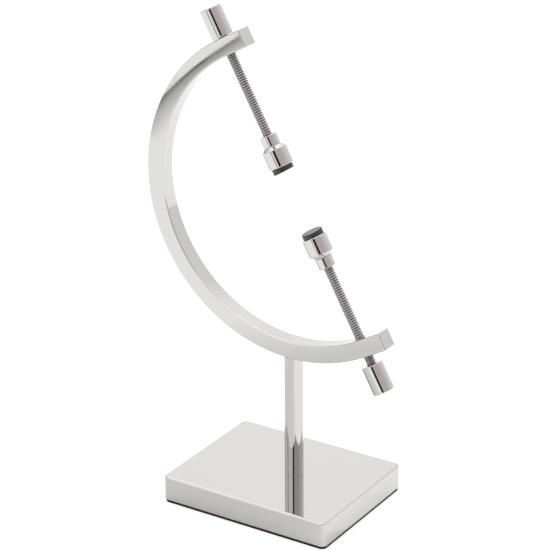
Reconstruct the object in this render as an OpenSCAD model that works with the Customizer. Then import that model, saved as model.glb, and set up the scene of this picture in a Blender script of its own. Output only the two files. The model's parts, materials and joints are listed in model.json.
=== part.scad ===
// Adjustable caliper display stand: a weighted block, a round post and a C-shaped arm whose two
// facing screws close soft pads on a mineral, sphere or fossil.
// Millimetres, +Z up. Origin: centre of the underside of the soft sheet under the base.
// +X runs along the base's long side, towards the open side of the arm.

/* [Base] */
// Length of the base block along X
base_w = 84.5; // [70:0.5:120]
// Depth of the base block along Y
base_d = 66.5; // [50:0.5:100]
// Height of the metal block
base_h = 11.4; // [10:0.1:20]
// Radius of the block's upright corners
base_corner_r = 2.5; // [1:0.5:8]
// Chamfer around the block's top
base_chamfer = 0.6; // [0.2:0.1:1.5]
// Thickness of the soft sheet under the block
sheet_t = 1.3; // [0.5:0.1:3]
// How far the soft sheet stays inside the block's outline
sheet_inset = 0.3; // [0:0.1:3]

/* [Post] */
// Diameter of the post
post_d = 8.5; // [7.5:0.1:12]
// Height of the post between the block and the arm
post_h = 58.3; // [40:0.1:100]
// Distance of the post from the middle of the base along X
post_x = 6.3; // [-20:0.1:20]

/* [Arm] */
// Side of the arm's square bar
bar = 8; // [7.5:0.1:12]
// Distance of the bend's centre from the middle of the base along X
arm_x = 7.5; // [-20:0.1:20]
// Radius of the bend, to the middle of the bar
arm_r = 70.5; // [62:0.5:90]
// Lean of the screws' common axis from upright, in degrees
lean = 29; // [10:1:35]
// Straight length of the upper arm end beyond the screw axis
upper_end = 11.5; // [7:0.1:20]
// Straight length of the lower arm end beyond the screw axis
lower_end = 12.8; // [7:0.1:20]
// Chamfer along the bar's edges
bar_chamfer = 0.35; // [0.1:0.05:1]

/* [Clamping screws] */
// Major diameter of every thread
thread_d = 4.83; // [4:0.01:5.2]
// Thread showing between the knob and the collar
thread_show = 45.8; // [35:0.1:50]
// Gap between the upper knob and the arm
upper_out = 0.2; // [0.2:0.1:30]
// Gap between the lower knob and the arm
lower_out = 4.2; // [0.2:0.1:30]
// Diameter of the knobs
knob_d = 9.8; // [8:0.1:14]
// Length of the knobs
knob_l = 13.2; // [11:0.1:20]

/* [Pad holders] */
// Diameter of the collar at the end of the thread
collar_d = 7.8; // [7:0.1:9]
// Length of the collar
collar_l = 4.9; // [3:0.1:8]
// Outside diameter of the pad cup
cup_d = 11.3; // [11:0.1:16]
// Length of the pad cup, with its shoulder
cup_l = 9.4; // [9:0.1:12]
// Length of the cup's tapered shoulder
shoulder_l = 1.6; // [0.5:0.1:2.5]
// Diameter of the rubber pad
pad_d = 9.4; // [9:0.1:9.8]
// How far the rubber pad stands out of its cup
pad_out = 2.5; // [1:0.1:5]

/* [Hidden] */
$fn = 96;

eps = 0.01;
base_top = sheet_t + base_h;
post_top = base_top + post_h;
seat_cut = 0.15;               // flat filed on the arm where the post meets it
seat_d = 1.6 * post_d;
arm_out_r = arm_r + bar / 2;
arm_z = post_top - seat_cut + arm_out_r;
fixed_fit = 0.02;              // radial gap of threads that are screwed home
running_fit = 0.06;            // radial gap of threads and journals that turn

// screw that holds the post from below
screw_grip = 10;               // thread inside the post
screw_head_d = 9;
screw_head_h = 3.2;
screw_key = 4;                 // across the corners of the key socket
screw_key_h = 1.9;
washer_d = 10;
washer_t = 0.8;
washer_hole = 5.3;
recess_d = 11;
recess_h = 4.4;
tap_gap = 1;                   // empty depth beyond the end of a screw

// stud between post and arm
stud_up = 5;
stud_down = 9;

// knob on its spindle
knob_grip = 9;
knob_chamfer = 0.5;

// journal that the cup turns on, and the clip that keeps it there
cup_gap = 0.1;
cup_wall = 3;
journal_d = 3.6;
groove_d = 2.9;
clip_d = 6.8;
clip_t = 0.6;
clip_slot = 2.4;
clip_gap = 0.1;
journal_end = 0.9;
cup_mouth_chamfer = 0.4;
pad_plug = 4;
pad_chamfer = 0.3;

collar_z = -thread_show;
cup_z = collar_z - collar_l - cup_gap;
clip_z = cup_z - cup_wall - clip_gap;

// outline of the plan view with rounded corners
module rounded_rectangle(w, d, r) {
    square([w - 2 * r, d], center = true);
    square([w, d - 2 * r], center = true);
    for (sx = [-1, 1], sy = [-1, 1])
        translate([sx * (w / 2 - r), sy * (d / 2 - r)]) circle(r);
}

// wedge that takes the edge off along X at y, z
module edge_cut(length, y, z, size) {
    translate([0, y, z]) rotate([45, 0, 0])
        cube([length, size * sqrt(2), size * sqrt(2)], center = true);
}

// plain round bar between two heights
module round_bar(z0, z1, d) {
    translate([0, 0, z0]) cylinder(h = z1 - z0, d = d);
}

// frame of the screw axis: Z along it, X towards the arm's open side
module at_bend() {
    translate([arm_x, 0, arm_z]) rotate([0, -lean, 0]) children();
}

// frame of one clamping screw: Z = 0 at the knob's inner face, the pad on the -Z side
module on_screw(out, flip) {
    at_bend() rotate([0, flip, 0]) translate([0, 0, arm_out_r + out]) children();
}

module on_upper() { on_screw(upper_out, 0) children(); }
module on_lower() { on_screw(lower_out, 180) children(); }

// heavy plated block, drilled and counterbored for the post screw
module base_block() {
    color([0.86, 0.86, 0.87]) difference() {
        translate([0, 0, sheet_t]) linear_extrude(base_h)
            rounded_rectangle(base_w, base_d, base_corner_r);
        for (s = [-1, 1]) {
            edge_cut(base_w + 2, s * base_d / 2, base_top, base_chamfer);
            rotate([0, 0, 90]) edge_cut(base_d + 2, s * base_w / 2, base_top, base_chamfer);
        }
        translate([post_x, 0, 0]) {
            round_bar(sheet_t - 1, sheet_t + recess_h, recess_d);
            round_bar(sheet_t, base_top + 1, washer_hole);
        }
    }
}

// soft sheet glued under the block
module base_sheet() {
    color([0.13, 0.10, 0.09]) linear_extrude(sheet_t)
        rounded_rectangle(base_w - 2 * sheet_inset, base_d - 2 * sheet_inset, base_corner_r);
}

// socket screw that pulls the post down on the block
module post_screw() {
    head_top = sheet_t + recess_h - washer_t;
    color([0.55, 0.55, 0.56]) translate([post_x, 0, 0]) difference() {
        union() {
            round_bar(head_top - screw_head_h, head_top, screw_head_d);
            round_bar(head_top - eps, base_top + screw_grip, thread_d);
        }
        translate([0, 0, head_top - screw_head_h - eps])
            cylinder(h = screw_key_h, d = screw_key, $fn = 6);
    }
}

module post_washer() {
    color([0.62, 0.62, 0.63]) translate([post_x, 0, sheet_t + recess_h - washer_t])
        difference() {
            cylinder(h = washer_t, d = washer_d);
            round_bar(-1, washer_t + 1, washer_hole);
        }
}

// round post, tapped at both ends
module post() {
    hole_d = thread_d + 2 * fixed_fit;
    color([0.84, 0.84, 0.85]) translate([post_x, 0, 0]) difference() {
        round_bar(base_top, post_top, post_d);
        round_bar(base_top - 1, base_top + screw_grip + tap_gap, hole_d);
        round_bar(post_top - stud_down - tap_gap, post_top + 1, hole_d);
    }
}

// headless stud that joins the arm to the post
module arm_stud() {
    color([0.55, 0.55, 0.56]) translate([post_x, 0, 0])
        round_bar(post_top - stud_down, post_top + stud_up, thread_d);
}

// square section of the bar with its edges taken off
module bar_section() {
    h = bar / 2;
    c = bar_chamfer;
    polygon([
        [-h + c, -h], [h - c, -h], [h, -h + c], [h, h - c],
        [h - c, h], [-h + c, h], [-h, h - c], [-h, -h + c]
    ]);
}

// half ring with two straight ends, a tapped hole across each end and one for the stud
module arm() {
    color([0.87, 0.87, 0.88]) difference() {
        at_bend() {
            rotate([90, 0, 0]) rotate([0, 0, 90])
                rotate_extrude(angle = 180) translate([arm_r, 0]) bar_section();
            translate([0, 0, arm_r]) rotate([0, 90, 0]) linear_extrude(upper_end) bar_section();
            translate([0, 0, -arm_r]) rotate([0, 90, 0]) linear_extrude(lower_end) bar_section();
        }
        at_bend() for (s = [-1, 1])
            translate([0, 0, s * arm_r]) cylinder(h = 2 * bar, d = thread_d + 2 * running_fit, center = true);
        translate([post_x, 0, 0]) {
            round_bar(post_top - bar, post_top, seat_d);
            round_bar(post_top - 1, post_top + stud_up + tap_gap, thread_d + 2 * fixed_fit);
        }
    }
}

// threaded spindle with a plain journal and a clip groove at its inner end
module spindle() {
    color([0.72, 0.71, 0.71]) difference() {
        union() {
            round_bar(collar_z - collar_l, knob_grip, thread_d);
            round_bar(clip_z - clip_t - journal_end, collar_z - collar_l + eps, journal_d);
        }
        difference() {
            round_bar(clip_z - clip_t, clip_z, journal_d + 2);
            round_bar(clip_z - clip_t - 1, clip_z + 1, groove_d);
        }
    }
}

// plain turned knob, screwed on the spindle's outer end
module knob() {
    r = knob_d / 2;
    c = knob_chamfer;
    color([0.85, 0.84, 0.83]) difference() {
        rotate_extrude() polygon([[0, 0], [r - c, 0], [r, c], [r, knob_l - c], [r - c, knob_l], [0, knob_l]]);
        round_bar(-1, knob_grip + tap_gap, thread_d + 2 * fixed_fit);
    }
}

// thrust collar screwed on the inner end of the thread
module collar() {
    color([0.85, 0.85, 0.86]) translate([0, 0, collar_z - collar_l]) difference() {
        cylinder(h = collar_l, d = collar_d);
        round_bar(-1, collar_l + 1, thread_d + 2 * fixed_fit);
    }
}

// cup that turns on the journal and holds the rubber pad
module cup() {
    r = cup_d / 2;
    m = cup_mouth_chamfer;
    color([0.84, 0.83, 0.83]) translate([0, 0, cup_z]) difference() {
        rotate_extrude() polygon([
            [0, 0], [collar_d / 2, 0], [r, -shoulder_l],
            [r, -cup_l + m], [r - m, -cup_l], [0, -cup_l]
        ]);
        round_bar(-cup_l, 1, journal_d + 2 * running_fit);
        round_bar(-cup_l - 1, -cup_wall, pad_d + 2 * fixed_fit);
    }
}

// open clip that snaps in the journal's groove behind the pad
module clip() {
    color([0.45, 0.45, 0.46]) translate([0, 0, clip_z - clip_t]) difference() {
        cylinder(h = clip_t, d = clip_d);
        round_bar(-1, clip_t + 1, groove_d + 2 * fixed_fit);
        translate([0, -clip_slot / 2, -1]) cube([clip_d, clip_slot, clip_t + 2]);
    }
}

// rubber pad, its inner part plugged in the cup
module pad() {
    r = pad_d / 2;
    c = pad_chamfer;
    color([0.20, 0.19, 0.18]) translate([0, 0, cup_z - cup_l]) rotate_extrude()
        polygon([[0, pad_plug], [r, pad_plug], [r, c - pad_out], [r - c, -pad_out], [0, -pad_out]]);
}

base_block();
base_sheet();
post_screw();
post_washer();
post();
arm_stud();
arm();
on_upper() spindle();  // upper_spindle
on_upper() knob();  // upper_knob
on_upper() collar();  // upper_collar
on_upper() cup();  // upper_cup
on_upper() clip();  // upper_clip
on_upper() pad();  // upper_pad
on_lower() spindle();  // lower_spindle
on_lower() knob();  // lower_knob
on_lower() collar();  // lower_collar
on_lower() cup();  // lower_cup
on_lower() clip();  // lower_clip
on_lower() pad();  // lower_pad
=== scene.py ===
"""Adjustable caliper display stand: plated block, post, C-shaped arm and two clamping screws.

Every piece is placed from the CAD frame, in metres, and rides on the body it belongs to.
"""
import json
import math

import bmesh
import bpy
from mathutils import Matrix, Vector


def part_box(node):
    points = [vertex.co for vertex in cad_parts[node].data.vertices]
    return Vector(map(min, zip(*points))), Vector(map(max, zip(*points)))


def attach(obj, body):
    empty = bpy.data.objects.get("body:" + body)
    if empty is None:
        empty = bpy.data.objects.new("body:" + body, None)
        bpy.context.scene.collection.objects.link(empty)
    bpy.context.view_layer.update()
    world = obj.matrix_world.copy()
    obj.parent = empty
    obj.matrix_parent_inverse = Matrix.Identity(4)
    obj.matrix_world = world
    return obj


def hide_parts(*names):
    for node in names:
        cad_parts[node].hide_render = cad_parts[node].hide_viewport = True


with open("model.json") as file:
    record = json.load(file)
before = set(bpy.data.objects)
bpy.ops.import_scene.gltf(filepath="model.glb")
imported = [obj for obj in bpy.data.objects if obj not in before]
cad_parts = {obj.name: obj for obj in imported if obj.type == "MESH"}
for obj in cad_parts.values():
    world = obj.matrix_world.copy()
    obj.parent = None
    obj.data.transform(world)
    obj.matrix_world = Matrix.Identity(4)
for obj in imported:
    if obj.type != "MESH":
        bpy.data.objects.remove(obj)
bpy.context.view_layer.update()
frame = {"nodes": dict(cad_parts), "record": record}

MM = 0.001
TURN = 2 * math.pi

# block and felt
BLOCK_CORNER = 2.5 * MM
BLOCK_EDGE = 1.0 * MM
BLOCK_FOOT_EDGE = 0.15 * MM
FELT_EDGE = 0.05 * MM
FELT_TOP_EDGE = 0.1 * MM
RECESS_RADIUS = 5.5 * MM
RECESS_DEPTH = 4.4 * MM
SCREW_HOLE_RADIUS = 2.65 * MM

# arm and post
SEAT_CUT = 0.15 * MM
SEAT_WIDTH = 1.6  # in post widths
BAR_EDGE = 0.55 * MM
BAR_END_EDGE = 0.4 * MM
UPPER_END_SHORTER = 1.3 * MM
BEND_PAST_POST = 1.2 * MM
POST_EDGE = 0.2 * MM
TAPPED_RADIUS = 2.475 * MM
HOLE_MOUTH = 0.35 * MM

# thread, 24 turns to the inch
PITCH = 25.4 * MM / 24
THREAD_RADIUS = 2.415 * MM
THREAD_DEPTH = 0.6 * PITCH
FLANK_ANGLE = math.radians(30)
CREST_CROWN = 0.03 * MM
THREAD_SHOW = 45.8 * MM
JOURNAL_RADIUS = 1.8 * MM
GROOVE_RADIUS = 1.45 * MM

# turned parts, from the knob's inner face down to the pad
KNOB_LENGTH = 13.2 * MM
KNOB_RADIUS = 4.9 * MM
KNOB_GRIP = 9 * MM
COLLAR_RADIUS = 3.9 * MM
COLLAR_LENGTH = 4.9 * MM
CUP_GAP = 0.1 * MM
CUP_RADIUS = 5.65 * MM
CUP_LENGTH = 9.4 * MM
CUP_WALL = 3 * MM
SHOULDER = 1.6 * MM
PAD_RADIUS = 4.7 * MM
PAD_OUT = 2.5 * MM
PAD_PLUG = 4 * MM
# how far each pad's face is out of square, as slopes across and sideways
UPPER_PAD_LEAN = (0.06, 0.0)
LOWER_PAD_LEAN = (-0.06, -0.105)
CLIP_GAP = 0.1 * MM
CLIP_THICKNESS = 0.6 * MM
JOURNAL_END = 0.9 * MM
JOURNAL_OVERLAP = 0.5 * MM
COLLAR_BACK = -THREAD_SHOW
CUP_BACK = COLLAR_BACK - COLLAR_LENGTH - CUP_GAP
CUP_MOUTH = CUP_BACK - CUP_LENGTH
CLIP_BACK = CUP_BACK - CUP_WALL - CLIP_GAP

# softened edges and fits of the turned parts
FINE_EDGE = 0.05 * MM
THREAD_FIT = 0.02 * MM
JOURNAL_FIT = 0.06 * MM
JOURNAL_EDGE = 0.15 * MM
KNOB_RELIEF = 0.4 * MM
KNOB_INNER_EDGE = 0.45 * MM
KNOB_OUTER_EDGE = 0.6 * MM
COLLAR_RELIEF = 0.3 * MM
COLLAR_FRONT_EDGE = 0.15 * MM
COLLAR_BACK_EDGE = 0.35 * MM
CUP_NECK_EDGE = 0.1 * MM
CUP_SHOULDER_EDGE = 0.35 * MM
CUP_RIM_EDGE = 0.4 * MM
CUP_LIP = 0.15 * MM
PAD_FIT = 0.02 * MM
PAD_BULGE = 0.05 * MM
PAD_BULGE_AT = 0.6 * MM
PAD_EDGE = 0.3 * MM
SMOOTH_ANGLE = 35  # degrees; sharper edges stay sharp

mounts = {mount["name"]: mount for mount in frame["record"]["mounts"]}
arm_low, arm_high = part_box("arm")
post_low, post_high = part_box("post")
block_low, block_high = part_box("base_block")
felt_low, felt_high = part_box("base_sheet")
post_x = (post_low[0] + post_high[0]) / 2
post_radius = (post_high[0] - post_low[0]) / 2
seat_radius = SEAT_WIDTH * post_radius
bar = arm_high[1] - arm_low[1]
bend_x = post_x + BEND_PAST_POST
bend_outside = bend_x - arm_low[0]
bend_radius = bend_outside - bar / 2
bend_centre = Vector((bend_x, 0, post_high[2] - SEAT_CUT + bend_outside))
screw_up = Vector(mounts["lower_pad_face"]["axis"]).normalized()
towards_opening = Vector((screw_up.z, 0, -screw_up.x))
lower_end = (arm_high[0] - bend_centre.x + screw_up.x * bend_outside) / towards_opening.x
upper_end = lower_end - UPPER_END_SHORTER


# ---------------------------------------------------------------- camera and studio

CAMERA_AZIMUTH = math.radians(32.66)
CAMERA_ELEVATION = math.radians(23.01)
CAMERA_ROLL = math.radians(-0.355)
CAMERA_DISTANCE = 1.0
CAMERA_TARGET = Vector((-0.0022, -0.0017, 0.1078))
SENSOR = 36
LENS = 151.2


def floor_axes():
    """Level unit vectors to the camera's right and from the stand towards the camera."""
    right = Vector((math.cos(CAMERA_AZIMUTH), math.sin(CAMERA_AZIMUTH), 0))
    level = Vector((math.sin(CAMERA_AZIMUTH), -math.cos(CAMERA_AZIMUTH), 0))
    return right, level


def place_camera():
    right, level = floor_axes()
    back = level * math.cos(CAMERA_ELEVATION) + Vector((0, 0, math.sin(CAMERA_ELEVATION)))
    data = bpy.data.cameras.new("studio_camera")
    data.sensor_width = SENSOR
    data.lens = LENS
    data.clip_start = 0.01
    camera = bpy.data.objects.new("studio_camera", data)
    up = back.cross(right)
    turn = Matrix((right, up, back)).transposed() @ Matrix.Rotation(CAMERA_ROLL, 3, "Z")
    camera.matrix_world = Matrix.Translation(CAMERA_TARGET + back * CAMERA_DISTANCE) @ turn.to_4x4()
    bpy.context.scene.collection.objects.link(camera)
    bpy.context.scene.camera = camera


# ---------------------------------------------------------------- shader building blocks


def add(tree, kind, **settings):
    """A new node; settings name its properties or its inputs."""
    node = tree.nodes.new(kind)
    for name, value in settings.items():
        if hasattr(node, name):
            setattr(node, name, value)
        else:
            node.inputs[name.replace("_", " ")].default_value = value
    return node


def ramp(tree, stops, interpolation="LINEAR"):
    node = tree.nodes.new("ShaderNodeValToRGB")
    node.color_ramp.interpolation = interpolation
    elements = node.color_ramp.elements
    while len(elements) < len(stops):
        elements.new(0.5)
    for element, (position, colour) in zip(elements, stops):
        element.position = position
        element.color = (*colour, 1) if isinstance(colour, tuple) else (colour, colour, colour, 1)
    return node


def times(tree, first, second):
    """A socket multiplied by a number or by another socket."""
    product = add(tree, "ShaderNodeMath", operation="MULTIPLY")
    tree.links.new(first, product.inputs[0])
    if isinstance(second, float):
        product.inputs[1].default_value = second
    else:
        tree.links.new(second, product.inputs[1])
    return product.outputs["Value"]


def plus(tree, first, second):
    """The sum of two sockets, kept between 0 and 1."""
    total = add(tree, "ShaderNodeMath", operation="ADD", use_clamp=True)
    tree.links.new(first, total.inputs[0])
    tree.links.new(second, total.inputs[1])
    return total.outputs["Value"]


def new_group(name, inputs, outputs):
    """An empty shader group with named sockets; inputs give (socket type, default)."""
    group = bpy.data.node_groups.new(name, "ShaderNodeTree")
    for label, (kind, value) in inputs.items():
        socket = group.interface.new_socket(label, in_out="INPUT", socket_type=kind)
        socket.default_value = value
    for label, kind in outputs.items():
        group.interface.new_socket(label, in_out="OUTPUT", socket_type=kind)
    return group, group.nodes.new("NodeGroupInput"), group.nodes.new("NodeGroupOutput")


def object_noise(group, source, detail, roughness=0.55):
    """Noise in the stand's own coordinates, its scale taken from the group's input."""
    place = group.nodes.new("ShaderNodeTexCoord")
    noise = add(group, "ShaderNodeTexNoise", Detail=detail, Roughness=roughness)
    group.links.new(place.outputs["Object"], noise.inputs["Vector"])
    group.links.new(source, noise.inputs["Scale"])
    return noise


def make_polish_haze():
    """Roughness that drifts between a clear polish and a faint haze."""
    group, inside, outside = new_group(
        "polish_haze",
        {"Scale": ("NodeSocketFloat", 60.0), "Clear": ("NodeSocketFloat", 0.03),
         "Hazy": ("NodeSocketFloat", 0.09)},
        {"Roughness": "NodeSocketFloat"})
    noise = object_noise(group, inside.outputs["Scale"], 4)
    spread = add(group, "ShaderNodeMapRange", From_Min=0.35, From_Max=0.75)
    group.links.new(noise.outputs["Fac"], spread.inputs["Value"])
    group.links.new(inside.outputs["Clear"], spread.inputs["To Min"])
    group.links.new(inside.outputs["Hazy"], spread.inputs["To Max"])
    group.links.new(spread.outputs["Result"], outside.inputs["Roughness"])
    return group


def make_fine_lines():
    """Thin scratches and buffing lines, as a height and as a mask."""
    group, inside, outside = new_group(
        "fine_lines",
        {"Scale": ("NodeSocketFloat", 500.0), "Stretch": ("NodeSocketVector", (1.0, 1.0, 0.04)),
         "Amount": ("NodeSocketFloat", 0.5)},
        {"Height": "NodeSocketFloat", "Mask": "NodeSocketFloat"})
    place = group.nodes.new("ShaderNodeTexCoord")
    squeeze = add(group, "ShaderNodeVectorMath", operation="MULTIPLY")
    group.links.new(place.outputs["Object"], squeeze.inputs[0])
    group.links.new(inside.outputs["Stretch"], squeeze.inputs[1])
    noise = add(group, "ShaderNodeTexNoise", Detail=3, Roughness=0.6)
    group.links.new(squeeze.outputs["Vector"], noise.inputs["Vector"])
    group.links.new(inside.outputs["Scale"], noise.inputs["Scale"])
    pick = ramp(group, [(0.0, 0.0), (0.62, 0.0), (0.74, 1.0)])
    group.links.new(noise.outputs["Fac"], pick.inputs["Fac"])
    for label, source in (("Mask", pick.outputs["Color"]), ("Height", noise.outputs["Fac"])):
        group.links.new(times(group, source, inside.outputs["Amount"]), outside.inputs[label])
    return group


def make_settled_dust():
    """Specks that lie on what faces up."""
    group, inside, outside = new_group(
        "settled_dust",
        {"Scale": ("NodeSocketFloat", 900.0), "Amount": ("NodeSocketFloat", 0.2)},
        {"Mask": "NodeSocketFloat"})
    noise = object_noise(group, inside.outputs["Scale"], 2)
    specks = ramp(group, [(0.0, 0.0), (0.66, 0.0), (0.72, 1.0)])
    group.links.new(noise.outputs["Fac"], specks.inputs["Fac"])
    facing = group.nodes.new("ShaderNodeNewGeometry")
    split = group.nodes.new("ShaderNodeSeparateXYZ")
    group.links.new(facing.outputs["Normal"], split.inputs[0])
    level = add(group, "ShaderNodeMapRange", From_Min=0.2, From_Max=0.9)
    group.links.new(split.outputs["Z"], level.inputs["Value"])
    lying = times(group, specks.outputs["Color"], level.outputs["Result"])
    group.links.new(times(group, lying, inside.outputs["Amount"]), outside.inputs["Mask"])
    return group


def make_edge_rub():
    """Where handling has rubbed the edges, from how sharply the surface turns."""
    group, inside, outside = new_group(
        "edge_rub",
        {"Amount": ("NodeSocketFloat", 0.5), "Scale": ("NodeSocketFloat", 300.0)},
        {"Mask": "NodeSocketFloat"})
    facing = group.nodes.new("ShaderNodeNewGeometry")
    edge = ramp(group, [(0.0, 0.0), (0.53, 0.0), (0.62, 1.0)])
    group.links.new(facing.outputs["Pointiness"], edge.inputs["Fac"])
    noise = object_noise(group, inside.outputs["Scale"], 3)
    broken = times(group, edge.outputs["Color"], noise.outputs["Fac"])
    group.links.new(times(group, broken, inside.outputs["Amount"]), outside.inputs["Mask"])
    return group


def make_soft_grain():
    """Even grain for rubber and felt, as a height and a lighter-darker drift."""
    group, inside, outside = new_group(
        "soft_grain",
        {"Scale": ("NodeSocketFloat", 2500.0), "Drift Scale": ("NodeSocketFloat", 200.0)},
        {"Height": "NodeSocketFloat", "Drift": "NodeSocketFloat"})
    grain = object_noise(group, inside.outputs["Scale"], 5, 0.7)
    drift = object_noise(group, inside.outputs["Drift Scale"], 3)
    group.links.new(grain.outputs["Fac"], outside.inputs["Height"])
    group.links.new(drift.outputs["Fac"], outside.inputs["Drift"])
    return group


POLISH_HAZE = make_polish_haze()
FINE_LINES = make_fine_lines()
SETTLED_DUST = make_settled_dust()
EDGE_RUB = make_edge_rub()
SOFT_GRAIN = make_soft_grain()


def use(tree, group, **values):
    """One placing of a group with its own values."""
    node = tree.nodes.new("ShaderNodeGroup")
    node.node_tree = group
    for name, value in values.items():
        node.inputs[name.replace("_", " ")].default_value = value
    return node


def new_material(name, **shader_values):
    material = bpy.data.materials.new(name)
    material.use_nodes = True
    tree = material.node_tree
    shader = tree.nodes["Principled BSDF"]
    for label, value in shader_values.items():
        shader.inputs[label.replace("_", " ")].default_value = value
    return material, tree, shader


def blend_colours(tree, mask, plain, marked):
    """Colour that goes from plain to marked with the mask; each is a colour or a socket."""
    mix = tree.nodes.new("ShaderNodeMix")
    mix.data_type = "RGBA"
    tree.links.new(mask, mix.inputs["Factor"])
    for label, colour in (("A", plain), ("B", marked)):
        socket = [s for s in mix.inputs if s.name == label and s.type == "RGBA"][0]
        if isinstance(colour, tuple):
            socket.default_value = (*colour, 1)
        else:
            tree.links.new(colour, socket)
    return [s for s in mix.outputs if s.type == "RGBA"][0]


def add_bump(tree, shader, height, distance, strength):
    bump = add(tree, "ShaderNodeBump", Strength=strength, Distance=distance)
    tree.links.new(height, bump.inputs["Height"])
    tree.links.new(bump.outputs["Normal"], shader.inputs["Normal"])


# ---------------------------------------------------------------- finishes

CHROME = (0.59, 0.583, 0.583)
CHROME_RUBBED = (0.50, 0.485, 0.47)
DUST = (0.44, 0.425, 0.40)
# plated thread: the darker root colour is painted shade in the thread's hollows, and the number
# after it sets how far the deepest part goes towards it
THREAD_CREST = (0.56, 0.54, 0.535)
THREAD_ROOT = (0.13, 0.115, 0.11)
THREAD_ROOT_SHADE_AMOUNT = 0.6
STEEL_RUBBED = (0.75, 0.74, 0.72)
RUBBER_DARK = (0.011, 0.009, 0.007)
RUBBER_LIGHT = (0.030, 0.025, 0.022)
RUBBER_RUBBED = (0.11, 0.10, 0.09)
FIBRE_DARK = (0.006, 0.004, 0.0035)
FIBRE_LIGHT = (0.022, 0.015, 0.012)
LINT = (0.08, 0.06, 0.05)


def polished_chrome(name, haze_scale, hazy, line_stretch, line_scale=700.0):
    """Mirror chrome plate with a faint haze, hairlines from polishing and a little dust."""
    material, tree, shader = new_material(name, Metallic=1.0)
    haze = use(tree, POLISH_HAZE, Scale=haze_scale, Clear=0.015, Hazy=hazy)
    lines = use(tree, FINE_LINES, Scale=line_scale, Stretch=line_stretch, Amount=0.08)
    rub = use(tree, EDGE_RUB, Amount=0.25)
    dust = use(tree, SETTLED_DUST, Amount=0.12)
    worn = blend_colours(tree, rub.outputs["Mask"], CHROME, CHROME_RUBBED)
    dusty = blend_colours(tree, dust.outputs["Mask"], worn, DUST)
    tree.links.new(dusty, shader.inputs["Base Color"])
    marked = plus(tree, haze.outputs["Roughness"], lines.outputs["Mask"])
    tree.links.new(plus(tree, marked, dust.outputs["Mask"]), shader.inputs["Roughness"])
    add_bump(tree, shader, lines.outputs["Height"], distance=0.02 * MM, strength=0.03)
    return material


def thread_chrome():
    """Plated thread: bright crests, duller and darker towards the root, where the darkening is
    painted shade in the thread's hollows.
    """
    material, tree, shader = new_material("thread_chrome", Metallic=1.0)
    depth = add(tree, "ShaderNodeAttribute", attribute_name="thread_depth")
    haze = use(tree, POLISH_HAZE, Scale=250.0, Clear=0.12, Hazy=0.20)
    lines = use(tree, FINE_LINES, Scale=1500.0, Stretch=(1.0, 1.0, 0.2), Amount=0.1)
    # painted shade: the colour darkens with the depth below the crest
    root_shade = times(tree, depth.outputs["Fac"], THREAD_ROOT_SHADE_AMOUNT)
    tree.links.new(blend_colours(tree, root_shade, THREAD_CREST, THREAD_ROOT),
                   shader.inputs["Base Color"])
    tree.links.new(plus(tree, haze.outputs["Roughness"], lines.outputs["Mask"]),
                   shader.inputs["Roughness"])
    add_bump(tree, shader, lines.outputs["Height"], distance=0.03 * MM, strength=0.1)
    return material


def plain_steel(name, colour, clear, hazy):
    """Zinc-plated or spring steel of the hidden hardware, with machining lines."""
    material, tree, shader = new_material(name, Metallic=1.0)
    haze = use(tree, POLISH_HAZE, Scale=300.0, Clear=clear, Hazy=hazy)
    lines = use(tree, FINE_LINES, Scale=1800.0, Stretch=(0.1, 1.0, 1.0), Amount=0.25)
    rub = use(tree, EDGE_RUB, Amount=0.8)
    tree.links.new(blend_colours(tree, rub.outputs["Mask"], colour, STEEL_RUBBED),
                   shader.inputs["Base Color"])
    tree.links.new(plus(tree, haze.outputs["Roughness"], lines.outputs["Mask"]),
                   shader.inputs["Roughness"])
    add_bump(tree, shader, lines.outputs["Height"], distance=0.05 * MM, strength=0.25)
    return material


def pad_rubber():
    """Matt black rubber with a fine moulded grain, lighter where it is rubbed or dusty."""
    material, tree, shader = new_material("pad_rubber", Specular_IOR_Level=0.6)
    grain = use(tree, SOFT_GRAIN, Scale=2600.0, Drift_Scale=260.0)
    dust = use(tree, SETTLED_DUST, Scale=1400.0, Amount=0.35)
    rub = use(tree, EDGE_RUB, Amount=0.7)
    drift = blend_colours(tree, grain.outputs["Drift"], RUBBER_DARK, RUBBER_LIGHT)
    worn = blend_colours(tree, rub.outputs["Mask"], drift, RUBBER_RUBBED)
    dusty = blend_colours(tree, dust.outputs["Mask"], worn, DUST)
    tree.links.new(dusty, shader.inputs["Base Color"])
    rough = add(tree, "ShaderNodeMapRange", To_Min=0.22, To_Max=0.36)
    tree.links.new(grain.outputs["Drift"], rough.inputs["Value"])
    tree.links.new(rough.outputs["Result"], shader.inputs["Roughness"])
    add_bump(tree, shader, grain.outputs["Height"], distance=0.08 * MM, strength=0.35)
    return material


def base_felt():
    """Dark pressed felt: tangled fibres, a soft sheen and pale lint."""
    material, tree, shader = new_material("base_felt", Roughness=0.95, Sheen_Weight=0.08,
                                          Specular_IOR_Level=0.1)
    grain = use(tree, SOFT_GRAIN, Scale=3200.0, Drift_Scale=900.0)
    lint = use(tree, FINE_LINES, Scale=1100.0, Stretch=(1.0, 0.7, 1.0), Amount=0.2)
    fibre = blend_colours(tree, grain.outputs["Drift"], FIBRE_DARK, FIBRE_LIGHT)
    tree.links.new(blend_colours(tree, lint.outputs["Mask"], fibre, LINT),
                   shader.inputs["Base Color"])
    add_bump(tree, shader, grain.outputs["Height"], distance=0.2 * MM, strength=0.8)
    return material


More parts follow.
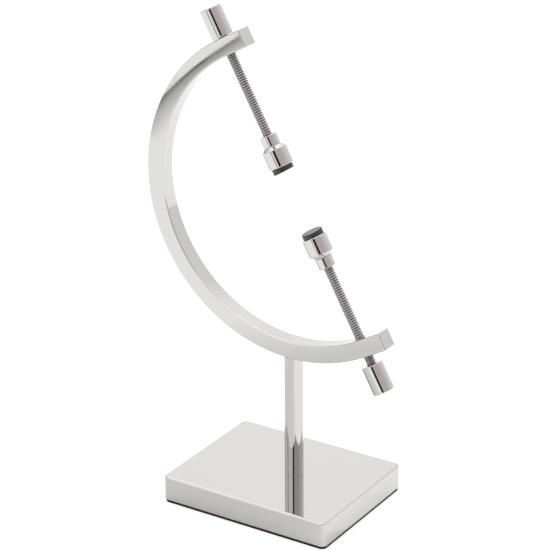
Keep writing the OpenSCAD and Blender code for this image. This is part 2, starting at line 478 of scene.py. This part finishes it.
FINISHES = {
    "block_chrome": polished_chrome("block_chrome", haze_scale=30.0, hazy=0.05,
                                    line_stretch=(1.0, 0.05, 1.0)),
    "post_chrome": polished_chrome("post_chrome", haze_scale=60.0, hazy=0.12,
                                   line_stretch=(1.0, 1.0, 0.05)),
    "arm_chrome": polished_chrome("arm_chrome", haze_scale=45.0, hazy=0.06,
                                  line_stretch=(0.2, 1.0, 0.2)),
    "turned_chrome": polished_chrome("turned_chrome", haze_scale=90.0, hazy=0.06,
                                     line_stretch=(1.0, 1.0, 1.0), line_scale=1200.0),
    "thread_chrome": thread_chrome(),
    "fastener_steel": plain_steel("fastener_steel", (0.50, 0.50, 0.51), clear=0.22, hazy=0.36),
    "clip_steel": plain_steel("clip_steel", (0.20, 0.20, 0.21), clear=0.28, hazy=0.42),
    "pad_rubber": pad_rubber(),
    "base_felt": base_felt(),
}


# ---------------------------------------------------------------- mesh building


def rounded_path(corners, steps=6, closed=False):
    """Points of an outline; each corner is (x, y, radius) and gets an arc of that radius."""
    points = []
    count = len(corners)
    for i, (x, y, radius) in enumerate(corners):
        if radius == 0 or (not closed and i in (0, count - 1)):
            points.append((x, y))
            continue
        here = Vector((x, y))
        before = (Vector(corners[i - 1][:2]) - here).normalized()
        after = (Vector(corners[(i + 1) % count][:2]) - here).normalized()
        half = before.angle(after) / 2
        reach = radius / math.tan(half)
        centre = here + (before + after).normalized() * (radius / math.sin(half))
        start = here + before * reach - centre
        finish = here + after * reach - centre
        sweep = start.angle_signed(finish)
        for k in range(steps + 1):
            arm_vector = Matrix.Rotation(-sweep * k / steps, 2) @ start
            points.append(tuple(centre + arm_vector))
    return points


def revolve(mesh, outline, place, sides=96):
    """Adds the solid that an outline of (radius, height) points makes round the place's Z."""
    rings = []
    for radius, height in outline:
        if radius < 1e-9:
            rings.append([mesh.verts.new(place @ Vector((0, 0, height)))])
            continue
        rings.append([mesh.verts.new(place @ Vector((radius * math.cos(TURN * k / sides),
                                                     radius * math.sin(TURN * k / sides), height)))
                      for k in range(sides)])
    for low, high in zip(rings, rings[1:]):
        for k in range(sides):
            corners = [low[k % len(low)], low[(k + 1) % len(low)],
                       high[(k + 1) % len(high)], high[k % len(high)]]
            mesh.faces.new(list(dict.fromkeys(corners)))


def skin(mesh, rings):
    """Closed skin over rings of equal length, capped at both ends."""
    count = len(rings[0])
    for low, high in zip(rings, rings[1:]):
        for k in range(count):
            mesh.faces.new((low[k], low[(k + 1) % count], high[(k + 1) % count], high[k]))
    mesh.faces.new(rings[0][::-1])
    mesh.faces.new(rings[-1])


def piece_from(mesh, name, finish, smooth_angle=SMOOTH_ANGLE):
    """Object from a bmesh, faces turned outwards, smooth except across sharp edges."""
    bmesh.ops.recalc_face_normals(mesh, faces=mesh.faces)
    data = bpy.data.meshes.new(name)
    mesh.to_mesh(data)
    mesh.free()
    data.materials.append(FINISHES[finish])
    piece = bpy.data.objects.new(name, data)
    bpy.context.scene.collection.objects.link(piece)
    data.shade_smooth()
    data.set_sharp_from_angle(angle=math.radians(smooth_angle))
    return piece


def settle(piece, smooth_angle=SMOOTH_ANGLE):
    """Applies the piece's modifiers, then keeps its flat faces flat beside the rounded edges."""
    evaluated = piece.evaluated_get(bpy.context.evaluated_depsgraph_get())
    data = bpy.data.meshes.new_from_object(evaluated)
    piece.modifiers.clear()
    piece.data = data
    data.shade_smooth()
    data.set_sharp_from_angle(angle=math.radians(smooth_angle))
    weighted = piece.modifiers.new("flat_faces_stay_flat", "WEIGHTED_NORMAL")
    weighted.keep_sharp = True
    weighted.weight = 100
    evaluated = piece.evaluated_get(bpy.context.evaluated_depsgraph_get())
    piece.data = bpy.data.meshes.new_from_object(evaluated)
    piece.modifiers.clear()
    return piece


def drill(piece, cutters):
    """Takes the cutters' shapes out of the piece; cutters is a filled bmesh."""
    tool = piece_from(cutters, piece.name + "_cutter", "fastener_steel")
    cut = piece.modifiers.new("drilled", "BOOLEAN")
    cut.operation = "DIFFERENCE"
    cut.solver = "EXACT"
    cut.object = tool
    settle(piece)
    bpy.data.objects.remove(tool)
    return piece


def finish_piece(piece, body, slot, *nodes):
    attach(piece, body)
    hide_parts(*nodes)


def bar_outline(half, radius, steps=5):
    """Square section with rounded edges, as (across, sideways) points."""
    corners = [(-half, -half, radius), (half, -half, radius),
               (half, half, radius), (-half, half, radius)]
    return rounded_path(corners, steps, closed=True)


def rounded_slab(mesh, low, high, corner, edge_low, edge_high, steps=5):
    """Upright slab with rounded corners and rounded lower and upper edges."""
    middle = (Vector(low) + Vector(high)) / 2
    half_x = (high[0] - low[0]) / 2
    half_y = (high[1] - low[1]) / 2

    def ring(inset, height):
        x, y, r = half_x - inset, half_y - inset, corner - inset
        outline = rounded_path([(-x, -y, r), (x, -y, r), (x, y, r), (-x, y, r)], 8,
                               closed=True)
        return [mesh.verts.new((middle.x + px, middle.y + py, height)) for px, py in outline]

    quarter = [math.pi / 2 * k / steps for k in range(steps + 1)]
    lower = [ring(edge_low * (1 - math.sin(a)), low[2] + edge_low * (1 - math.cos(a)))
             for a in quarter]
    upper = [ring(edge_high * (1 - math.cos(a)), high[2] - edge_high * (1 - math.sin(a)))
             for a in quarter]
    skin(mesh, lower + upper)


# ---------------------------------------------------------------- the stand's fixed pieces


def make_block():
    """Heavy plated block with its screw recess underneath."""
    mesh = bmesh.new()
    rounded_slab(mesh, block_low, block_high, BLOCK_CORNER, BLOCK_FOOT_EDGE, BLOCK_EDGE)
    block = piece_from(mesh, "plated_block", "block_chrome")
    cutters = bmesh.new()
    below, above = block_low[2] - MM, block_high[2] + MM
    recess_top = block_low[2] + RECESS_DEPTH
    revolve(cutters, [(0, below), (RECESS_RADIUS, below), (RECESS_RADIUS, recess_top),
                      (SCREW_HOLE_RADIUS, recess_top), (SCREW_HOLE_RADIUS, above),
                      (0, above)], Matrix.Translation((post_x, 0, 0)))
    finish_piece(drill(block, cutters), "stand", "polished_chrome", "base_block")


def make_felt():
    """Felt sheet under the block, with barely softened edges."""
    mesh = bmesh.new()
    rounded_slab(mesh, felt_low, felt_high, BLOCK_CORNER, FELT_EDGE, FELT_TOP_EDGE)
    felt = piece_from(mesh, "felt_sheet", "base_felt")
    finish_piece(settle(felt), "stand", "base_felt", "base_sheet")


def make_post():
    """Round post with a fine edge at its foot and where it meets the arm."""
    mesh = bmesh.new()
    foot, top = post_low[2], post_high[2]
    outline = rounded_path([(0, foot, 0), (post_radius, foot, POST_EDGE),
                            (post_radius, top, POST_EDGE), (0, top, 0)], 3)
    revolve(mesh, outline, Matrix.Translation((post_x, 0, 0)), 128)
    post = piece_from(mesh, "round_post", "post_chrome")
    finish_piece(settle(post), "stand", "polished_chrome", "post")


def bar_path(steps=160):
    """Stations along the bent bar as (point, outward direction)."""
    stations = []
    for k in range(steps + 1):
        angle = math.pi * k / steps
        outward = towards_opening * -math.sin(angle) - screw_up * math.cos(angle)
        stations.append((bend_centre + outward * bend_radius, outward))
    return stations


def make_arm():
    """Square bar bent to a C, rounded edges, drilled for both screws and seated on the post."""
    mesh = bmesh.new()
    sideways = Vector((0, 1, 0))

    def ring(point, outward, inset):
        outline = bar_outline(bar / 2 - inset, BAR_EDGE - inset)
        return [mesh.verts.new(point + outward * across + sideways * side)
                for across, side in outline]

    def end_rings(station, length, angles):
        point, outward = station
        return [ring(point + towards_opening * (length - BAR_END_EDGE * (1 - math.sin(a))),
                     outward, BAR_END_EDGE * (1 - math.cos(a))) for a in angles]

    stations = bar_path()
    quarter = [math.pi / 2 * k / 4 for k in range(5)]
    rings = end_rings(stations[0], lower_end, reversed(quarter))
    rings += [ring(point, outward, 0) for point, outward in stations]
    rings += end_rings(stations[-1], upper_end, quarter)
    skin(mesh, rings)
    arm = piece_from(mesh, "bent_arm", "arm_chrome")

    cutters = bmesh.new()
    inner, outer = bend_radius - bar / 2, bend_outside
    wide = TAPPED_RADIUS + HOLE_MOUTH
    hole = [(0, inner - MM), (wide, inner - MM), (wide, inner),
            (TAPPED_RADIUS, inner + HOLE_MOUTH), (TAPPED_RADIUS, outer - HOLE_MOUTH),
            (wide, outer), (wide, outer + MM), (0, outer + MM)]
    for outward in (screw_up, -screw_up):
        revolve(cutters, hole, screw_place(bend_centre, outward), 64)
    seat = Matrix.Translation((post_x, 0, post_high[2]))
    revolve(cutters, [(0, -bar), (seat_radius, -bar), (seat_radius, 0), (0, 0)], seat, 64)
    finish_piece(drill(arm, cutters), "stand", "polished_chrome", "arm")


# ---------------------------------------------------------------- the clamping screws


def screw_place(origin, outward):
    """Matrix whose Z runs outward along a screw, from origin."""
    side = Vector((0, 1, 0))
    across = side.cross(outward).normalized()
    return Matrix.Translation(origin) @ Matrix((across, side, outward)).transposed().to_4x4()


def add_thread(mesh, place, low, high, around=36):
    """Right-handed thread between two heights, and its depth below the crest, from which the finish
    paints shade into the roots.
    """
    crest, root = THREAD_RADIUS, THREAD_RADIUS - THREAD_DEPTH
    flank = THREAD_DEPTH * math.tan(FLANK_ANGLE)
    flat = (PITCH - 2 * flank) / 3
    profile = [(0, root), (flat, root), (flat + flank, crest - CREST_CROWN),
               (1.5 * flat + flank, crest), (2 * flat + flank, crest - CREST_CROWN)]
    layer = mesh.verts.layers.float.new("thread_depth")
    turns = int((high - low) / PITCH) - 1
    columns = turns * around
    grid = []
    for i in range(columns + around + 1):
        angle = TURN * i / around
        lift = low + PITCH * i / around
        ease = min(1, i / around, (columns + around - i) / around)
        column = []
        for height, radius in profile[:len(profile) if i < columns + 1 else 1]:
            r = root + (radius - root) * ease
            point = Vector((r * math.cos(angle), r * math.sin(angle), lift + height))
            vertex = mesh.verts.new(place @ point)
            vertex[layer] = (crest - r) / THREAD_DEPTH
            column.append(vertex)
        grid.append(column)
    for i in range(columns):
        here = grid[i] + [grid[i + around][0]]
        ahead = grid[i + 1] + [grid[i + around + 1][0]]
        for j in range(len(profile)):
            mesh.faces.new((here[j], ahead[j], ahead[j + 1], here[j + 1]))
    first_rim = [column[0] for column in grid[:around + 1]] + grid[0][:0:-1]
    last_rim = [column[0] for column in grid[columns:]] + grid[columns][:0:-1]
    for centre_height, rim in ((low, first_rim), (high, last_rim)):
        centre = mesh.verts.new(place @ Vector((0, 0, centre_height)))
        centre[layer] = 1.0
        for a, b in zip(rim, rim[1:] + rim[:1]):
            mesh.faces.new((a, b, centre))


def make_spindle(side, place):
    """Threaded rod with the journal and clip groove at its inner end."""
    mesh = bmesh.new()
    add_thread(mesh, place, COLLAR_BACK - COLLAR_LENGTH, KNOB_GRIP)
    groove = CLIP_BACK - CLIP_THICKNESS
    end = groove - JOURNAL_END
    top = COLLAR_BACK - COLLAR_LENGTH + JOURNAL_OVERLAP
    outline = rounded_path([
        (0, end, 0), (JOURNAL_RADIUS, end, JOURNAL_EDGE), (JOURNAL_RADIUS, groove, 0),
        (GROOVE_RADIUS, groove, 0), (GROOVE_RADIUS, CLIP_BACK, 0),
        (JOURNAL_RADIUS, CLIP_BACK, 0), (JOURNAL_RADIUS, top, 0), (0, top, 0)], 3)
    revolve(mesh, outline, place, 48)
    spindle = piece_from(mesh, side + "_threaded_rod", "thread_chrome", 50)
    finish_piece(spindle, side + "_screw", "thread_chrome", side + "_spindle")


def turned_piece(name, corners, place):
    """Chromed lathe part from the corners of its outline, each (radius, height, edge)."""
    mesh = bmesh.new()
    revolve(mesh, rounded_path(corners), place, 128)
    return settle(piece_from(mesh, name, "turned_chrome"))


def make_knob(side, place):
    """Plain knob with softened ends and a shallow relief round the threaded rod."""
    bore = THREAD_RADIUS + THREAD_FIT
    corners = [
        (0, KNOB_GRIP + MM, 0), (bore, KNOB_GRIP + MM, 0), (bore, KNOB_RELIEF, 0),
        (bore + KNOB_RELIEF, 0, FINE_EDGE), (KNOB_RADIUS, 0, KNOB_INNER_EDGE),
        (KNOB_RADIUS, KNOB_LENGTH, KNOB_OUTER_EDGE), (0, KNOB_LENGTH, 0)]
    knob = turned_piece(side + "_turned_knob", corners, place)
    finish_piece(knob, side + "_screw", "polished_chrome", side + "_knob")


def make_collar(side, place):
    """Collar locked on the end of the thread."""
    bore = THREAD_RADIUS + THREAD_FIT
    back, front = COLLAR_BACK, COLLAR_BACK - COLLAR_LENGTH
    corners = [
        (bore, front, 0), (COLLAR_RADIUS, front, COLLAR_FRONT_EDGE),
        (COLLAR_RADIUS, back, COLLAR_BACK_EDGE), (bore + COLLAR_RELIEF, back, FINE_EDGE),
        (bore, back - COLLAR_RELIEF, 0), (bore, front, 0)]
    collar = turned_piece(side + "_thrust_collar", corners, place)
    finish_piece(collar, side + "_screw", "polished_chrome", side + "_collar")


def make_cup(side, place):
    """Swivelling cup: tapered shoulder, straight wall and a hollow mouth."""
    bore = JOURNAL_RADIUS + JOURNAL_FIT
    mouth = PAD_RADIUS + PAD_FIT
    floor = CUP_BACK - CUP_WALL
    corners = [
        (bore, CUP_BACK, 0), (COLLAR_RADIUS, CUP_BACK, CUP_NECK_EDGE),
        (CUP_RADIUS, CUP_BACK - SHOULDER, CUP_SHOULDER_EDGE),
        (CUP_RADIUS, CUP_MOUTH, CUP_RIM_EDGE), (mouth + CUP_LIP, CUP_MOUTH, CUP_NECK_EDGE),
        (mouth, CUP_MOUTH + CUP_LIP, 0), (mouth, floor, 0), (bore, floor, 0), (bore, CUP_BACK, 0)]
    cup = turned_piece(side + "_pad_cup", corners, place)
    finish_piece(cup, side + "_cup", "polished_chrome", side + "_cup")


def make_pad(side, place, lean):
    """Rubber pad pressed in its cup, its face cut a touch out of square along lean."""
    mesh = bmesh.new()
    corners = [
        (0, CUP_MOUTH + PAD_PLUG, 0), (PAD_RADIUS, CUP_MOUTH + PAD_PLUG, 0),
        (PAD_RADIUS, CUP_MOUTH, 0), (PAD_RADIUS + PAD_BULGE, CUP_MOUTH - PAD_BULGE_AT, 0),
        (PAD_RADIUS, CUP_MOUTH - PAD_OUT, PAD_EDGE), (0, CUP_MOUTH - PAD_OUT, 0)]
    revolve(mesh, rounded_path(corners, 5), Matrix(), 96)
    for vertex in mesh.verts:
        stand_out = max(0, CUP_MOUTH - vertex.co.z) / PAD_OUT
        vertex.co.z += stand_out * (lean[0] * vertex.co.x + lean[1] * vertex.co.y)
    mesh.transform(place)
    pad = settle(piece_from(mesh, side + "_rubber_pad", "pad_rubber"))
    finish_piece(pad, side + "_cup", "pad_rubber", side + "_pad")


def make_screw(side, outward, lean):
    face = Vector(mounts[side + "_pad_face"]["pos_m"])
    place = screw_place(face - outward * (CUP_MOUTH - PAD_OUT), outward)
    make_spindle(side, place)
    make_knob(side, place)
    make_collar(side, place)
    make_cup(side, place)
    make_pad(side, place, lean)


def dress_hidden_hardware():
    """The hardware that stays as the CAD made it gets its own steel."""
    finishes = {"post_screw": "fastener_steel", "post_washer": "fastener_steel",
                "arm_stud": "fastener_steel", "upper_clip": "clip_steel", "lower_clip": "clip_steel"}
    for node, finish in finishes.items():
        slots = frame["nodes"][node].data.materials
        slots.clear()
        slots.append(FINISHES[finish])


# ---------------------------------------------------------------- studio

FLOOR_BEHIND = 4.0
FLOOR_IN_FRONT = 1.2
FLOOR_SIDE = 3.0
PAPER_COLOUR = (0.6, 0.6, 0.6, 1)
PAPER_GLOW = 0.46
PAPER_SHADE = 0.93  # the shade at which a card matches the glowing paper
CARD_HEIGHT = 0.5 * MM
TENT_STRENGTH = 1.25
BACKDROP_STRENGTH = 1.1
SOFTBOX_SIZE = 2.4
SOFTBOX_HEIGHT = 1.6
SOFTBOX_POWER = 6.25


def flat_sheet(name, corners, material):
    """One flat face of a material, linked to the scene."""
    mesh = bmesh.new()
    mesh.faces.new([mesh.verts.new(corner) for corner in corners])
    data = bpy.data.meshes.new(name)
    mesh.to_mesh(data)
    mesh.free()
    data.materials.append(material)
    sheet = bpy.data.objects.new(name, data)
    bpy.context.scene.collection.objects.link(sheet)
    return sheet


def make_floor():
    """Plain pale sheet that the stand is on, glowing so that no shadow shows on it."""
    right, level = floor_axes()
    corners = [level * depth + right * side
               for depth, side in ((FLOOR_IN_FRONT, -FLOOR_SIDE), (FLOOR_IN_FRONT, FLOOR_SIDE),
                                   (-FLOOR_BEHIND, FLOOR_SIDE), (-FLOOR_BEHIND, -FLOOR_SIDE))]
    material, _, _ = new_material("pale_paper", Base_Color=PAPER_COLOUR, Roughness=0.9,
                                  Specular_IOR_Level=0.0, Emission_Color=(1, 1, 1, 1),
                                  Emission_Strength=PAPER_GLOW)
    floor = flat_sheet("studio_floor", corners, material)


def lay_card(name, start, finish, width, shades):
    """Paper card on the floor, seen only in the chrome; shades run across its width.

    start and finish are (to the camera's right, towards the camera) points of one long edge.
    """
    right, level = floor_axes()
    here, there = (right * side + level * depth for side, depth in (start, finish))
    along = (there - here).normalized()
    across = along.cross(Vector((0, 0, 1)))
    length = (there - here).length
    material, tree, shader = new_material(name, Roughness=0.9, Specular_IOR_Level=0.0)
    place = tree.nodes.new("ShaderNodeTexCoord")
    split = tree.nodes.new("ShaderNodeSeparateXYZ")
    tree.links.new(place.outputs["Object"], split.inputs[0])
    share = add(tree, "ShaderNodeMapRange", From_Max=width)
    tree.links.new(split.outputs["X"], share.inputs["Value"])
    shade = ramp(tree, shades)
    tree.links.new(share.outputs["Result"], shade.inputs["Fac"])
    tree.links.new(shade.outputs["Color"], shader.inputs["Base Color"])
    corners = [(0, 0, 0), (width, 0, 0), (width, length, 0), (0, length, 0)]
    card = flat_sheet(name, corners, material)
    turn = Matrix((across, along, Vector((0, 0, 1)))).transposed().to_4x4()
    card.matrix_world = Matrix.Translation(here + Vector((0, 0, CARD_HEIGHT))) @ turn
    card.visible_camera = False
    card.visible_diffuse = False
    card.visible_shadow = False


def make_world():
    """Light tent seen in the chrome, and a plain white backdrop for the camera.

    The walls' shades run once round the tent: the camera is at 0.5, and more is to its right.
    They are pale on the left and greyer on the right, with three dark slits on the left. The
    tent is brighter overhead and dim below the horizon.
    """
    world = bpy.data.worlds.new("light_tent")
    bpy.context.scene.world = world
    world.use_nodes = True
    tree = world.node_tree
    tree.nodes.clear()
    place = tree.nodes.new("ShaderNodeTexCoord")
    turn = add(tree, "ShaderNodeVectorRotate", rotation_type="Z_AXIS", Angle=-CAMERA_AZIMUTH)
    tree.links.new(place.outputs["Generated"], turn.inputs["Vector"])
    split = tree.nodes.new("ShaderNodeSeparateXYZ")
    tree.links.new(turn.outputs["Vector"], split.inputs[0])
    around = add(tree, "ShaderNodeMath", operation="ARCTAN2")
    tree.links.new(split.outputs["X"], around.inputs[0])
    tree.links.new(times(tree, split.outputs["Y"], -1.0), around.inputs[1])
    spread = add(tree, "ShaderNodeMapRange", From_Min=-math.pi, From_Max=math.pi)
    tree.links.new(around.outputs["Value"], spread.inputs["Value"])
    pale, grey, dark = (1.0, 0.975, 0.965), (0.56, 0.505, 0.49), 0.012
    walls = ramp(tree, [
        (0.0, pale), (0.078, (0.90, 0.87, 0.86)), (0.086, dark), (0.112, dark), (0.120, pale),
        (0.262, (0.86, 0.83, 0.82)), (0.268, dark), (0.282, dark), (0.290, pale),
        (0.36, (0.95, 0.93, 0.92)), (0.444, (0.88, 0.84, 0.83)), (0.452, dark), (0.494, dark),
        (0.503, grey), (0.62, grey), (0.68, (0.63, 0.60, 0.57)), (0.80, (0.80, 0.77, 0.76)),
        (1.0, pale)])
    tree.links.new(spread.outputs["Result"], walls.inputs["Fac"])
    high = add(tree, "ShaderNodeMapRange", From_Min=0.55, From_Max=0.85)
    tree.links.new(split.outputs["Z"], high.inputs["Value"])
    with_ceiling = blend_colours(tree, high.outputs["Result"], walls.outputs["Color"],
                                 (1.25, 1.23, 1.22))
    low = add(tree, "ShaderNodeMapRange", From_Min=-0.03, From_Max=-0.08)
    tree.links.new(split.outputs["Z"], low.inputs["Value"])
    whole = blend_colours(tree, low.outputs["Result"], with_ceiling, (0.22, 0.21, 0.21))
    tent = add(tree, "ShaderNodeBackground", Strength=TENT_STRENGTH)
    tree.links.new(whole, tent.inputs["Color"])
    plain = add(tree, "ShaderNodeBackground", Color=(1, 1, 1, 1), Strength=BACKDROP_STRENGTH)
    rays = tree.nodes.new("ShaderNodeLightPath")
    choose = tree.nodes.new("ShaderNodeMixShader")
    tree.links.new(rays.outputs["Is Camera Ray"], choose.inputs["Fac"])
    tree.links.new(tent.outputs["Background"], choose.inputs[1])
    tree.links.new(plain.outputs["Background"], choose.inputs[2])
    output = tree.nodes.new("ShaderNodeOutputWorld")
    tree.links.new(choose.outputs["Shader"], output.inputs["Surface"])


def make_softbox():
    """Large soft light overhead that keeps the paper white; it isn't mirrored in the chrome."""
    data = bpy.data.lights.new("softbox", "AREA")
    data.shape = "SQUARE"
    data.size = SOFTBOX_SIZE
    data.energy = SOFTBOX_POWER
    light = bpy.data.objects.new("softbox", data)
    light.location = (0, 0, SOFTBOX_HEIGHT)
    light.visible_glossy = False
    bpy.context.scene.collection.objects.link(light)


place_camera()
make_block()
make_felt()
make_post()
make_arm()
make_screw("upper", screw_up, UPPER_PAD_LEAN)
make_screw("lower", -screw_up, LOWER_PAD_LEAN)
dress_hidden_hardware()
make_floor()
lay_card("arm_side_card", (-0.68, 0.301), (-0.50, 0.113), 0.04,
         [(0.0, 0.02), (0.06, 0.05), (0.12, 0.34), (0.35, 0.55), (1.0, PAPER_SHADE)])
lay_card("post_side_card", (0.03, -0.14), (0.03, 0.20), 0.22,
         [(0.0, PAPER_SHADE), (0.18, 0.74), (0.7, 0.70), (1.0, PAPER_SHADE)])
make_world()
make_softbox()
bpy.context.scene.view_settings.view_transform = "Standard"
